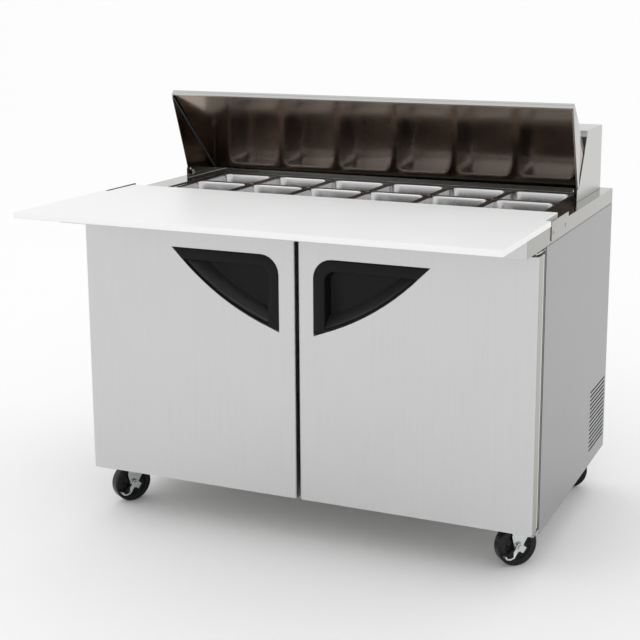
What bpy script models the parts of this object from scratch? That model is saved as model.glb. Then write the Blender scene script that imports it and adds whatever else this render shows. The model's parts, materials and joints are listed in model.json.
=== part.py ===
"""Sandwich prep table: a refrigerated two-door cabinet on casters.

It has a pan rail under a hinged lid, and a cutting board in front of it.

Metres, +Z up, +X to the right and -Y to the front.
The origin is on the floor, under the middle of the whole.
"""
import math

import bmesh
import bpy
from mathutils import Matrix, Vector

GAP = 0.0003  # the clearance between touching pieces

# The whole
WIDTH = 1.2255
DEPTH = 0.762  # from the doors' fronts to the rear panel
DECK_Z = 0.862
BOARD_REACH = 0.290  # how far the cutting board stands out past the doors
FRONT_Y = -(DEPTH + BOARD_REACH) / 2 + BOARD_REACH
REAR_Y = FRONT_Y + DEPTH
HALF_W = WIDTH / 2
SHEET = 0.0018

# Cabinet
CABINET_Y = FRONT_Y + 0.066  # the face frame's front
SIDE_BOTTOM = 0.113
APRON_Z = DECK_Z - 0.040
BASE_Z = 0.127
BASE_T = 0.004
WALL = 0.045
BODY_HALF_W = HALF_W - SHEET - GAP
BODY_TOP = DECK_Z - SHEET - GAP
BODY_FRONT = CABINET_Y + SHEET + GAP
BODY_REAR = REAR_Y - SHEET - GAP
FLOOR_Z = BASE_Z + BASE_T + GAP
MACHINE_Y = REAR_Y - 0.236  # the machine space is behind this, and under MACHINE_Z
MACHINE_Z = 0.360
MULLION_HALF = 0.030
FRAME_EDGE = 0.042

# Air slots to the machine space: louvres at its sides and vents at its rear
LOUVRES = 15
LOUVRE_Z = 0.152
LOUVRE_PITCH = 0.0119
LOUVRE_HIGH = 0.005
LOUVRE_FRONT = REAR_Y - 0.186
LOUVRE_REAR = REAR_Y - 0.014
VENTS = 8
VENT_Z = 0.150
VENT_PITCH = 0.024
VENT_HIGH = 0.009
VENT_HALF_X = 0.50

# Worktop and pans
DECK_FRONT = FRONT_Y - 0.105
OPEN_HALF_X = 0.541
OPEN_FRONT = 0.067
OPEN_REAR = 0.404
PAN_COUNT = 6
PAN_DEEP = 0.100
GRID_BAR = 0.006
GRID_Z = DECK_Z - 0.0095
GRID_T = 0.004
RIM_T = 0.0016
BOARD_T = 0.0145
BOARD_HALF = 0.614
BOARD_NARROW = 0.597
BOARD_REAR = -0.016
NOTCH_Y = -0.141
STOP_REAR = 0.019
STOP_RISE = 0.013

# Lid and rear hood, as places in the Y-Z plane
LID_HALF_W = 0.581
PIVOT = Vector((0.256, DECK_Z + 0.024))
LID_TIP = Vector((0.172, DECK_Z + 0.2485))
LID_FOOT = Vector((0.4085, DECK_Z + 0.012))
LID_CORE = 0.013
LINER_T = 0.0012
HOOD_TOP = DECK_Z + 0.177
HOOD_FRONT = 0.336
HOOD_REAR = 0.509
HOOD_SHEET = 0.0015

# Doors
DOOR_T = 0.0540
DOOR_BOTTOM = 0.133
DOOR_TOP = 0.808
DOOR_GAP = 0.009
DOOR_RADIUS = 0.009
SKIN_T = 0.0015
SKIN_DEEP = 0.040
PIN_INSET_X = 0.015
PIN_Y = FRONT_Y + 0.022
PIN_R = 0.004
GASKET_INSET = 0.019
GASKET_W = 0.016

# Handles: a quarter shape with its square corner beside the middle of the table
HANDLE_SIDE = 0.047
HANDLE_W = 0.304
HANDLE_H = 0.196
HANDLE_TOP = 0.761
HANDLE_BAND = 0.030
HANDLE_DEEP = 0.038
HANDLE_CORNER = 0.050
HANDLE_BOW = 0.026
HANDLE_PROUD = 0.002
HANDLE_FLOOR = 0.004

# Casters
CASTER_X = 0.559
CASTER_TRAIL = 0.029
FRONT_CASTER_Y = -0.092
REAR_CASTER_Y = REAR_Y - 0.066
SWIVELS = {"front_left": 60, "front_right": 45, "rear_left": 140, "rear_right": 12}  # degrees
WHEEL_R = 0.054
WHEEL_W = 0.030
WHEEL_SIDES = 32
AXLE_R = 0.005
AXLE_Z = WHEEL_R * math.cos(math.pi / WHEEL_SIDES)
FORK_TOP = 0.1165
KINGPIN_R = 0.006

# Shelves
SHELF_Z = 0.440
SHELF_T = 0.010
SHELF_BAR = 0.012
SHELF_FRONT = CABINET_Y + 0.035
SHELF_REAR = MACHINE_Y - WALL - 0.020

SILVER = (0.78, 0.78, 0.79, 1.0)

for old in list(bpy.data.objects):
    bpy.data.objects.remove(old)

parts = bpy.data.collections.new("sandwich_prep_table")
cutters = bpy.data.collections.new("cutters")
for collection in (parts, cutters):
    bpy.context.scene.collection.children.link(collection)


def material(name, colour, roughness, metallic):
    made = bpy.data.materials.new(name)
    made.use_nodes = True
    shader = made.node_tree.nodes["Principled BSDF"]
    shader.inputs["Base Color"].default_value = colour
    shader.inputs["Roughness"].default_value = roughness
    shader.inputs["Metallic"].default_value = metallic
    return made


STEEL = material("stainless", SILVER, 0.35, 1.0)
BRIGHT = material("bright_stainless", (0.6, 0.6, 0.6, 1.0), 0.12, 1.0)
FOAM = material("foam", (0.85, 0.82, 0.70, 1.0), 0.8, 0.0)
WHITE = material("white_board", (0.93, 0.93, 0.93, 1.0), 0.45, 0.0)
BLACK = material("black_plastic", (0.02, 0.02, 0.02, 1.0), 0.4, 0.0)
RUBBER = material("rubber", (0.03, 0.03, 0.03, 1.0), 0.7, 0.0)
ZINC = material("zinc", (0.70, 0.72, 0.71, 1.0), 0.3, 1.0)
COIL = material("coil", (0.72, 0.72, 0.74, 1.0), 0.4, 1.0)


def place(name, mesh, look):
    """Add a part made of this mesh, or a cutter where look is None."""
    thing = bpy.data.objects.new(name, mesh)
    if look is None:
        cutters.objects.link(thing)
        thing.hide_render = True
        thing.display_type = "WIRE"
    else:
        parts.objects.link(thing)
        mesh.materials.append(look)
    return thing


def box(name, low, high, look=None):
    mesh = bpy.data.meshes.new(name)
    bm = bmesh.new()
    bmesh.ops.create_cube(bm, size=1.0)
    low, high = Vector(low), Vector(high)
    bmesh.ops.scale(bm, vec=high - low, verts=bm.verts)
    bmesh.ops.translate(bm, vec=(low + high) / 2, verts=bm.verts)
    bm.to_mesh(mesh)
    bm.free()
    return place(name, mesh, look)


def cylinder(name, centre, radius, length, axis="Z", sides=24, look=None):
    """A cylinder with its middle at centre."""
    mesh = bpy.data.meshes.new(name)
    bm = bmesh.new()
    bmesh.ops.create_cone(bm, cap_ends=True, segments=sides, radius1=radius, radius2=radius, depth=length)
    bmesh.ops.rotate(bm, verts=bm.verts, matrix=Matrix.Rotation(math.pi / sides, 3, "Z"))
    turn = {"X": Matrix.Rotation(math.pi / 2, 3, "Y"), "Y": Matrix.Rotation(math.pi / 2, 3, "X")}
    if axis in turn:
        bmesh.ops.rotate(bm, verts=bm.verts, matrix=turn[axis])
    bmesh.ops.translate(bm, vec=centre, verts=bm.verts)
    bm.to_mesh(mesh)
    bm.free()
    thing = place(name, mesh, look)
    if look is not None:
        mesh.shade_smooth()
        mesh.set_sharp_from_angle(angle=math.radians(40))
    return thing


PLANES = {
    "XY": Matrix(((1, 0, 0), (0, 1, 0), (0, 0, 1))),
    "XZ": Matrix(((1, 0, 0), (0, 0, -1), (0, 1, 0))),
    "YZ": Matrix(((0, 0, 1), (1, 0, 0), (0, 1, 0))),
}


def slab(name, outline, low, high, plane, look=None):
    """A flat outline in a plane, made solid between low and high along the axis across the plane."""
    curve = bpy.data.curves.new(name, "CURVE")
    curve.dimensions = "2D"
    curve.fill_mode = "BOTH"
    curve.extrude = (high - low) / 2
    spline = curve.splines.new("POLY")
    spline.points.add(len(outline) - 1)
    for point, (a, b) in zip(spline.points, outline):
        point.co = (a, b, 0.0, 1.0)
    spline.use_cyclic_u = True
    guide = bpy.data.objects.new(name + "_outline", curve)
    cutters.objects.link(guide)
    across = PLANES[plane] @ Vector((0, 0, 1))
    sign = across.x + across.y + across.z
    matrix = Matrix.Translation(across * sign * (low + high) / 2) @ PLANES[plane].to_4x4()
    bpy.context.view_layer.update()
    solid = guide.evaluated_get(bpy.context.evaluated_depsgraph_get())
    mesh = bpy.data.meshes.new_from_object(solid)
    bpy.data.objects.remove(guide)
    bm = bmesh.new()
    bm.from_mesh(mesh)
    bmesh.ops.remove_doubles(bm, verts=bm.verts, dist=0.00001)
    bmesh.ops.transform(bm, matrix=matrix, verts=bm.verts)
    bmesh.ops.recalc_face_normals(bm, faces=bm.faces)
    bm.to_mesh(mesh)
    bm.free()
    mesh.name = name
    mesh.materials.clear()
    return place(name, mesh, look)


def combine(target, other, operation):
    change = target.modifiers.new(operation.lower(), "BOOLEAN")
    change.operation = operation
    change.object = other
    return target


def cut(target, *tools):
    for tool in tools:
        combine(target, tool, "DIFFERENCE")
    return target


def join(target, *others):
    for other in others:
        combine(target, other, "UNION")
    return target


def settled(thing):
    """The mesh of a piece with its modifiers worked out."""
    bpy.context.view_layer.update()
    solid = thing.evaluated_get(bpy.context.evaluated_depsgraph_get())
    return bpy.data.meshes.new_from_object(solid)


def turn_about(thing, x, y, angle):
    """Turn a piece about an upright axis, and put its origin on that axis."""
    thing.data.transform(Matrix.Translation((-x, -y, 0)))
    thing.location = (x, y, 0)
    thing.rotation_euler = (0, 0, angle)


def cabinet():
    """The insulated body, its liner, the frame, base, side and rear panels."""
    outline = [
        (BODY_FRONT, FLOOR_Z),
        (MACHINE_Y, FLOOR_Z),
        (MACHINE_Y, MACHINE_Z),
        (BODY_REAR, MACHINE_Z),
        (BODY_REAR, BODY_TOP),
        (BODY_FRONT, BODY_TOP),
    ]
    body = slab("insulated_body", outline, -BODY_HALF_W, BODY_HALF_W, "YZ", FOAM)
    hollow = [
        (BODY_FRONT - 0.01, FLOOR_Z + WALL),
        (MACHINE_Y - WALL, FLOOR_Z + WALL),
        (MACHINE_Y - WALL, MACHINE_Z + WALL),
        (BODY_REAR - WALL, MACHINE_Z + WALL),
        (BODY_REAR - WALL, BODY_TOP - WALL),
        (BODY_FRONT - 0.01, BODY_TOP - WALL),
    ]
    inside = BODY_HALF_W - WALL
    cut(body, slab("body_hollow", hollow, -inside, inside, "YZ"))
    well_low = (-OPEN_HALF_X, OPEN_FRONT, BODY_TOP - 2 * WALL)
    cut(body, box("body_well", well_low, (OPEN_HALF_X, OPEN_REAR, BODY_TOP + 0.01)))

    def inset(points, by):
        """The liner's profile: the hollow made smaller all round, and open at the front."""
        step_y, step_z = points[1][0] - by, points[2][1] + by
        low, top, rear = points[0][1] + by, points[4][1] - by, points[3][0] - by
        front = BODY_FRONT if by < LINER_T else BODY_FRONT - 0.01
        return [(front, low), (step_y, low), (step_y, step_z), (rear, step_z), (rear, top), (front, top)]

    liner = slab("inner_liner", inset(hollow, GAP), GAP - inside, inside - GAP, "YZ", BRIGHT)
    thin = GAP + LINER_T
    cut(liner, slab("liner_hollow", inset(hollow, thin), thin - inside, inside - thin, "YZ"))
    cut(liner, box("liner_well", (-OPEN_HALF_X, OPEN_FRONT, 0.7), (OPEN_HALF_X, OPEN_REAR, DECK_Z)))

    frame_high = (BODY_HALF_W, CABINET_Y + SHEET, APRON_Z - 0.004)
    frame = box("face_frame", (-BODY_HALF_W, CABINET_Y, FLOOR_Z), frame_high, STEEL)
    window_low, window_high = FLOOR_Z + WALL + 0.004, BODY_TOP - WALL - 0.004
    edge = HALF_W - FRAME_EDGE - 0.010
    for side, a, b in (("left", -edge, -MULLION_HALF), ("right", MULLION_HALF, edge)):
        low = (a, CABINET_Y - 0.01, window_low)
        cut(frame, box("window_" + side, low, (b, CABINET_Y + 0.01, window_high)))
    post_low = (-MULLION_HALF + 0.004, CABINET_Y + SHEET - 0.001, window_low - 0.001)
    join(frame, box("mullion", post_low, (MULLION_HALF - 0.004, CABINET_Y + 0.034, window_high + 0.001)))

    base_low = (-BODY_HALF_W, CABINET_Y, BASE_Z)
    base = box("base_plate", base_low, (BODY_HALF_W, BODY_REAR, BASE_Z + BASE_T), STEEL)
    for sign in (-1, 1):
        tab_z = DOOR_BOTTOM - 0.0035
        tab = hinge_leaf("lower_leaf_%d" % sign, sign, tab_z)
        tab.data.transform(Matrix.Translation((0, 0.004, 0)))
        join(base, tab, hinge_pin("lower_pin_%d" % sign, sign, tab_z + 0.0085))

    for side, sign in (("left", -1), ("right", 1)):
        x0, x1 = sorted((sign * (HALF_W - SHEET), sign * HALF_W))
        low = (x0, CABINET_Y, SIDE_BOTTOM)
        panel = box("side_panel_" + side, low, (x1, REAR_Y, APRON_Z - 0.0015), STEEL)
        for step in range(LOUVRES):
            z = LOUVRE_Z + LOUVRE_PITCH * step
            slot_low = (x0 - 0.01, LOUVRE_FRONT, z)
            slot_high = (x1 + 0.01, LOUVRE_REAR, z + LOUVRE_HIGH)
            cut(panel, box("louvre_%s_%d" % (side, step), slot_low, slot_high))

    rear_low = (-BODY_HALF_W, REAR_Y - SHEET, SIDE_BOTTOM)
    rear = box("rear_panel", rear_low, (BODY_HALF_W, REAR_Y, APRON_Z - 0.0015), STEEL)
    for step in range(VENTS):
        z = VENT_Z + VENT_PITCH * step
        vent_low = (-VENT_HALF_X, REAR_Y - 0.02, z)
        cut(rear, box("vent_%d" % step, vent_low, (VENT_HALF_X, REAR_Y + 0.02, z + VENT_HIGH)))


def worktop():
    """The deck with its apron, the board stops, the board, the rear hood and the pan grid."""
    deck = box("worktop", (-HALF_W, DECK_FRONT, APRON_Z), (HALF_W, REAR_Y, DECK_Z), STEEL)
    hollow_low = (-HALF_W + SHEET, DECK_FRONT + SHEET, APRON_Z - 0.01)
    cut(deck, box("deck_hollow", hollow_low, (HALF_W - SHEET, REAR_Y - SHEET, DECK_Z - SHEET)))
    cut(deck, box("deck_opening", (-OPEN_HALF_X, OPEN_FRONT, 0.8), (OPEN_HALF_X, OPEN_REAR, 0.9)))

    for side, sign in (("left", -1), ("right", 1)):
        x0, x1 = sorted((sign * (HALF_W + GAP), sign * (HALF_W + GAP + SHEET)))
        low = (x0, NOTCH_Y + 0.003, DECK_Z - 0.034)
        box("board_stop_" + side, low, (x1, STOP_REAR, DECK_Z + STOP_RISE), STEEL)

    front_y = FRONT_Y - BOARD_REACH
    outline = [
        (-BOARD_HALF, front_y),
        (BOARD_HALF, front_y),
        (BOARD_HALF, NOTCH_Y),
        (BOARD_NARROW, NOTCH_Y),
        (BOARD_NARROW, BOARD_REAR),
        (-BOARD_NARROW, BOARD_REAR),
        (-BOARD_NARROW, NOTCH_Y),
        (-BOARD_HALF, NOTCH_Y),
    ]
    slab("cutting_board", outline, DECK_Z + GAP, DECK_Z + GAP + BOARD_T, "XY", WHITE)

    grid_low = (GAP - OPEN_HALF_X, OPEN_FRONT + GAP, GRID_Z)
    grid = box("pan_grid", grid_low, (OPEN_HALF_X - GAP, OPEN_REAR - GAP, GRID_Z + GRID_T), STEEL)
    for name, x, y in pan_places():
        cell = (pan_pitch() - GRID_BAR) / 2, (row_pitch() - GRID_BAR) / 2
        low = (x - cell[0], y - cell[1], GRID_Z - 0.01)
        cut(grid, box("cell_" + name, low, (x + cell[0], y + cell[1], GRID_Z + 0.02)))


def pan_pitch():
    return 2 * (OPEN_HALF_X - 0.002) / PAN_COUNT


def row_pitch():
    return (OPEN_REAR - OPEN_FRONT - 0.004) / 2


def pan_places():
    """Each pan's name and its middle."""
    for row, name in enumerate(("front", "rear")):
        y = OPEN_FRONT + 0.002 + (row + 0.5) * row_pitch()
        for column in range(PAN_COUNT):
            yield "pan_%s_%d" % (name, column + 1), (column - (PAN_COUNT - 1) / 2) * pan_pitch(), y


def pans():
    """Twelve open pans, hanging by their rims on the grid."""
    rim = GRID_Z + GRID_T + GAP
    half_x, half_y = pan_pitch() / 2 - 0.0008, row_pitch() / 2 - 0.0008
    wall_x, wall_y = half_x - 0.0075, half_y - 0.0075
    taper = 0.009

    def tub(name, grow, low, high):
        """A box that narrows towards its floor."""
        thing = box(name, (-wall_x - grow, -wall_y - grow, low), (wall_x + grow, wall_y + grow, high))
        for vertex in thing.data.vertices:
            if vertex.co.z < (low + high) / 2:
                vertex.co.x -= math.copysign(taper, vertex.co.x)
                vertex.co.y -= math.copysign(taper, vertex.co.y)
        return thing

    pattern = box("pan_pattern", (-half_x, -half_y, rim), (half_x, half_y, rim + RIM_T))
    join(pattern, tub("pan_outside", 0.0, rim - PAN_DEEP, rim + RIM_T / 2))
    cut(pattern, tub("pan_inside", -0.0012, rim - PAN_DEEP + 0.0014, rim + 0.01))
    shape = settled(pattern)
    shape.materials.clear()
    shape.materials.append(BRIGHT)
    for name, x, y in pan_places():
        pan = bpy.data.objects.new(name, shape)
        pan.location = (x, y, 0)
        parts.objects.link(pan)


def hood():
    """The fixed box at the rear of the deck, open at its front and underneath."""
    low = DECK_Z + GAP
    boss = 0.0125  # the side's round end about the lid's pivot
    side = [(PIVOT.x - boss, low), (HOOD_REAR, low), (HOOD_REAR, HOOD_TOP), (HOOD_FRONT, HOOD_TOP)]
    side.append((HOOD_FRONT, HOOD_TOP - 0.015))
    for degrees in range(60, 181, 20):
        angle = math.radians(degrees)
        side.append((PIVOT.x + boss * math.cos(angle), PIVOT.y + boss * math.sin(angle)))
    shell = slab("rear_hood", side, -LID_HALF_W, LID_HALF_W, "YZ", STEEL)
    inner = LID_HALF_W - HOOD_SHEET
    room = [
        (PIVOT.x - 0.05, low - 0.01),
        (HOOD_REAR - HOOD_SHEET, low - 0.01),
        (HOOD_REAR - HOOD_SHEET, HOOD_TOP - HOOD_SHEET),
        (HOOD_FRONT + HOOD_SHEET, HOOD_TOP - HOOD_SHEET),
        (HOOD_FRONT + HOOD_SHEET, HOOD_TOP - 0.016),
        (HOOD_FRONT - 0.05, HOOD_TOP - 0.016),
        (PIVOT.x - 0.05, PIVOT.y + 0.05),
    ]
    cut(shell, slab("hood_room", room, -inner, inner, "YZ"))
    for sign in (-1, 1):
        middle = (sign * (inner - 0.0045), PIVOT.x, PIVOT.y)
        join(shell, cylinder("lid_pin_%d" % sign, middle, 0.004, 0.012, "X", 16))


def lid():
    """The swinging lid: a core between an outer skin and an inner liner, with cheeks at both ends."""
    along = (LID_FOOT - LID_TIP).normalized()
    out = Vector((-along.y, along.x))
    if out.x < 0:
        out = -out
    tip, foot = LID_TIP, LID_FOOT
    cheek_x = LID_HALF_W - HOOD_SHEET - 0.0010  # the inner cheeks' outer faces

    def strip(start, end, near, far):
        """A strip along the lid's slope, between two distances out from its inner face."""
        return [start + out * near, end + out * near, end + out * far, start + out * far]

    core_end = foot - along * 0.010
    core_start = tip + along * 0.004
    liner_start = tip + along * 0.0035
    sheet = strip(liner_start, foot, -LINER_T, 0.0)
    liner = slab("lid_liner", sheet, -cheek_x, cheek_x, "YZ", BRIGHT)
    lower = PIVOT + Vector((0.010, -0.0105))
    cheek = [liner_start, liner_start - out * 0.008, PIVOT + Vector((-0.010, 0.006)), lower, foot]
    for sign in (-1, 1):
        x0, x1 = sorted((sign * cheek_x, sign * (cheek_x - LINER_T)))
        join(liner, slab("liner_cheek_%d" % sign, cheek, x0, x1, "YZ"))
        bore_at = (sign * cheek_x, PIVOT.x, PIVOT.y)
        cut(liner, cylinder("lid_bore_%d" % sign, bore_at, 0.0046, 0.02, "X", 16))

    core_x = cheek_x - LINER_T
    core = strip(core_start, core_end, GAP, GAP + LID_CORE)
    slab("lid_core", core, -core_x, core_x, "YZ", FOAM)

    skin_low = 2 * GAP + LID_CORE
    far = skin_low + LINER_T
    skin = slab("lid_skin", strip(tip, core_end, skin_low, far), -cheek_x, cheek_x, "YZ", STEEL)
    lip = strip(tip - along * 0.0012, tip + along * 0.0025, -0.0012, far + 0.0002)
    join(skin, slab("lid_lip", lip, -LID_HALF_W, LID_HALF_W, "YZ"))
    reach = 0.105  # the part of the slope that stays in front of the rear hood, at full width
    band = strip(tip + along * 0.001, tip + along * reach, skin_low + 0.0002, far + 0.0003)
    join(skin, slab("lid_band", band, GAP - LID_HALF_W, LID_HALF_W - GAP, "YZ"))
    front_low = PIVOT + Vector((-0.009, 0.013))
    hinge_side = PIVOT + Vector((0.004, 0.013))
    break_at = tip + along * (reach - 0.001) + out * (far - 0.0002)
    front_high = tip - along * 0.0007 - out * 0.0007
    wing = [front_high, front_low, hinge_side, break_at, tip - along * 0.0007 + out * (far - 0.0002)]
    for sign in (-1, 1):
        x0, x1 = sorted((sign * (cheek_x + GAP), sign * (LID_HALF_W - 0.0001)))
        join(skin, slab("skin_cheek_%d" % sign, wing, x0, x1, "YZ"))


def handle_outline(inset_square, inset_slope, sign):
    """The handle's outline in the X-Z plane: a rounded square corner and a bowed slope.

    inset_square is taken off along the top and the upright side, and inset_slope off the bowed side.
    """
    left, top = HANDLE_SIDE + inset_square, HANDLE_TOP - inset_square
    right, bottom = HANDLE_SIDE + HANDLE_W, HANDLE_TOP - HANDLE_H
    radius = HANDLE_CORNER - inset_square * 0.8
    points = []
    for step in range(7):
        angle = math.pi / 2 + math.pi / 2 * step / 6
        points.append((left + radius + radius * math.cos(angle), top - radius + radius * math.sin(angle)))
    start, end = Vector((HANDLE_SIDE - 0.004, bottom)), Vector((right, HANDLE_TOP + 0.003))
    normal = Vector((start.y - end.y, end.x - start.x)).normalized()
    slope = []
    for step in range(13):
        t = step / 12
        bow = 4 * t * (1 - t) * HANDLE_BOW
        point = start.lerp(end, t) - normal * (bow - inset_slope)
        if point.x > left + 0.002 and point.y < top - 0.002:
            slope.append((point.x, point.y))
    if inset_square > GAP:
        ends = (left, slope[0][1] - 0.002), (slope[-1][0] + 0.003, top)
    else:
        ends = (left, bottom + 10 * inset_square), (right - 10 * inset_square, top)
    outline = points + [ends[0]] + slope + [ends[1]]
    outline = [(sign * x, z) for x, z in outline]
    return outline if sign > 0 else outline[::-1]


def door(side, sign):
    """One door: outer skin, core with inner panel, gasket and handle. Its origin is on the hinge axis."""
    near, far = DOOR_GAP / 2, HALF_W
    pin_x = HALF_W - PIN_INSET_X
    face = FRONT_Y
    span = sorted((sign * near, sign * far))

    def rounded(inset, back):
        """The door's plan, with its two front corners rounded."""
        radius = DOOR_RADIUS - inset
        plan = [(near + inset, back), (far - inset, back)]
        for start, middle in ((0.0, far - inset - radius), (90.0, near + inset + radius)):
            for step in range(5):
                angle = math.radians(start + 22.5 * step)
                y = face + inset + radius * (1 - math.sin(angle))
                plan.append((middle + radius * math.cos(angle), y))
        plan = [(sign * x, y) for x, y in plan]
        return plan if sign > 0 else plan[::-1]

    skin = slab("door_%s_skin" % side, rounded(0.0, face + SKIN_DEEP), DOOR_BOTTOM, DOOR_TOP, "XY", STEEL)
    room = rounded(SKIN_T, face + SKIN_DEEP + 0.01)
    cut(skin, slab("skin_room_" + side, room, DOOR_BOTTOM + SKIN_T, DOOR_TOP - SKIN_T, "XY"))

    core_plan = rounded(SKIN_T + GAP, face + DOOR_T)
    core_low, core_high = DOOR_BOTTOM + SKIN_T + GAP, DOOR_TOP - SKIN_T - GAP
    core = slab("door_%s_core" % side, core_plan, core_low, core_high, "XY", WHITE)

    opening = handle_outline(0.0, 0.0, sign)
    hole = slab("handle_hole_" + side, opening, face - 0.01, face + HANDLE_DEEP, "XZ")
    cut(skin, hole)
    cut(core, hole)
    for end, z in (("top", DOOR_TOP), ("bottom", DOOR_BOTTOM)):
        bore_at = (sign * pin_x, PIN_Y, z)
        bore = cylinder("bore_%s_%s" % (side, end), bore_at, PIN_R + 0.0006, 0.032, "Z", 16)
        cut(skin, bore)
        cut(core, bore)

    lift = (face + DOOR_T + GAP, CABINET_Y - GAP)
    inner, outer = GASKET_INSET, GASKET_INSET + GASKET_W
    a, b = span
    low, high = DOOR_BOTTOM, DOOR_TOP
    gasket_name = "door_%s_gasket" % side
    gasket = box(gasket_name, (a + inner, lift[0], low + inner), (b - inner, lift[1], high - inner), RUBBER)
    middle_low = (a + outer, lift[0] - 0.01, low + outer)
    cut(gasket, box("gasket_middle_" + side, middle_low, (b - outer, lift[1] + 0.01, high - outer)))

    outside, inside = handle_outline(GAP, GAP, sign), handle_outline(HANDLE_BAND, 0.004, sign)
    back = face + HANDLE_DEEP
    grip = slab("door_%s_handle" % side, outside, face - HANDLE_PROUD, back - GAP, "XZ", BLACK)
    cut(grip, slab("pocket_" + side, inside, face - 0.01, back - HANDLE_FLOOR, "XZ"))

    for thing in (skin, core, gasket, grip):
        thing.data.transform(Matrix.Translation((-sign * pin_x, -PIN_Y, 0)))
        thing.location = (sign * pin_x, PIN_Y, 0)

    top_z = DOOR_TOP + 0.005
    plate = hinge_leaf("hinge_%s_top" % side, sign, top_z, ZINC)
    join(plate, hinge_pin("pin_%s_top" % side, sign, top_z - 0.0085))


def hinge_leaf(name, sign, z, look=None):
    """The flat arm that holds a door's pin out in front of the face frame."""
    pin_x = HALF_W - PIN_INSET_X
    x0, x1 = sorted((sign * (pin_x - 0.030), sign * (pin_x + 0.010)))
    return box(name, (x0, PIN_Y - 0.010, z - 0.0018), (x1, CABINET_Y - GAP, z + 0.0018), look)


def hinge_pin(name, sign, z):
    return cylinder(name, (sign * (HALF_W - PIN_INSET_X), PIN_Y, z), PIN_R, 0.017, "Z", 16)


def caster(number, x, y, angle, braked):
    """A plate with its kingpin, a fork with its axle, and a wheel that trails behind the kingpin."""
    plate_top = BASE_Z - GAP
    plate_low = (x - 0.036, y - 0.045, plate_top - 0.004)
    plate = box("caster_%d_plate" % number, plate_low, (x + 0.036, y + 0.045, plate_top), ZINC)
    join(plate, cylinder("kingpin_%d" % number, (x, y, plate_top - 0.009), KINGPIN_R, 0.014, "Z", 16))

    wheel_x = x - CASTER_TRAIL
    fork = cylinder("caster_%d_fork" % number, (x, y, FORK_TOP - 0.003), 0.030, 0.006, "Z", 20, ZINC)
    leg = [
        (x - 0.043, FORK_TOP),
        (x - 0.048, FORK_TOP - 0.030),
        (wheel_x - 0.013, AXLE_Z + 0.004),
        (wheel_x - 0.008, AXLE_Z - 0.011),
        (wheel_x + 0.008, AXLE_Z - 0.011),
        (wheel_x + 0.013, AXLE_Z + 0.004),
        (x + 0.026, FORK_TOP),
    ]
    half = WHEEL_W / 2 + 0.002
    for side, sign in (("near", -1), ("far", 1)):
        y0, y1 = sorted((y + sign * half, y + sign * (half + 0.0025)))
        join(fork, slab("leg_%d_%s" % (number, side), leg, y0, y1, "XZ"))
    axle_at = (wheel_x, y, AXLE_Z)
    join(fork, cylinder("axle_%d" % number, axle_at, AXLE_R, 2 * half + 0.012, "Y", 16))
    cut(fork, cylinder("fork_bore_%d" % number, (x, y, FORK_TOP), KINGPIN_R + 0.0006, 0.03, "Z", 16))

    wheel = cylinder("caster_%d_wheel" % number, axle_at, WHEEL_R, WHEEL_W, "Y", WHEEL_SIDES, RUBBER)
    cut(wheel, cylinder("wheel_bore_%d" % number, axle_at, AXLE_R + 0.0006, WHEEL_W + 0.02, "Y", 16))
    turned = [fork, wheel]

    if braked:
        out = y - half - 0.0025 - 0.0060
        pedal = [
            (wheel_x - 0.007, AXLE_Z - 0.007),
            (wheel_x + 0.007, AXLE_Z - 0.007),
            (wheel_x + 0.007, AXLE_Z + 0.007),
            (wheel_x - 0.007, AXLE_Z + 0.007),
            (wheel_x - 0.042, AXLE_Z - 0.019),
            (wheel_x - 0.040, AXLE_Z - 0.025),
        ]
        lever = slab("caster_%d_brake" % number, pedal, out, out + 0.0030, "XZ", ZINC)
        tread_low = (wheel_x - 0.046, out - 0.014, AXLE_Z - 0.0255)
        join(lever, box("tread_%d" % number, tread_low, (wheel_x - 0.034, out + 0.001, AXLE_Z - 0.0225)))
        bore_at = (wheel_x, out, AXLE_Z)
        cut(lever, cylinder("brake_bore_%d" % number, bore_at, AXLE_R + 0.0006, 0.03, "Y", 16))
        turned.append(lever)
    swung = turned + [modifier.object for thing in turned for modifier in thing.modifiers]
    for thing in swung:
        turn_about(thing, x, y, angle)


def shelves():
    """Two slotted shelves, one behind each door."""
    for side, sign in (("left", -1), ("right", 1)):
        a, b = sorted((sign * (MULLION_HALF + 0.004), sign * (BODY_HALF_W - WALL - 0.006)))
        low = (a, SHELF_FRONT, SHELF_Z)
        shelf = box("shelf_" + side, low, (b, SHELF_REAR, SHELF_Z + SHELF_T), WHITE)
        pitch = (b - a - SHELF_BAR) / 6
        for step in range(6):
            x = a + SHELF_BAR + pitch * step
            slot_high = (x + pitch - SHELF_BAR, SHELF_REAR - SHELF_BAR, SHELF_Z + 0.05)
            slot_low = (x, SHELF_FRONT + SHELF_BAR, SHELF_Z - 0.05)
            cut(shelf, box("slot_%s_%d" % (side, step), slot_low, slot_high))


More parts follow.
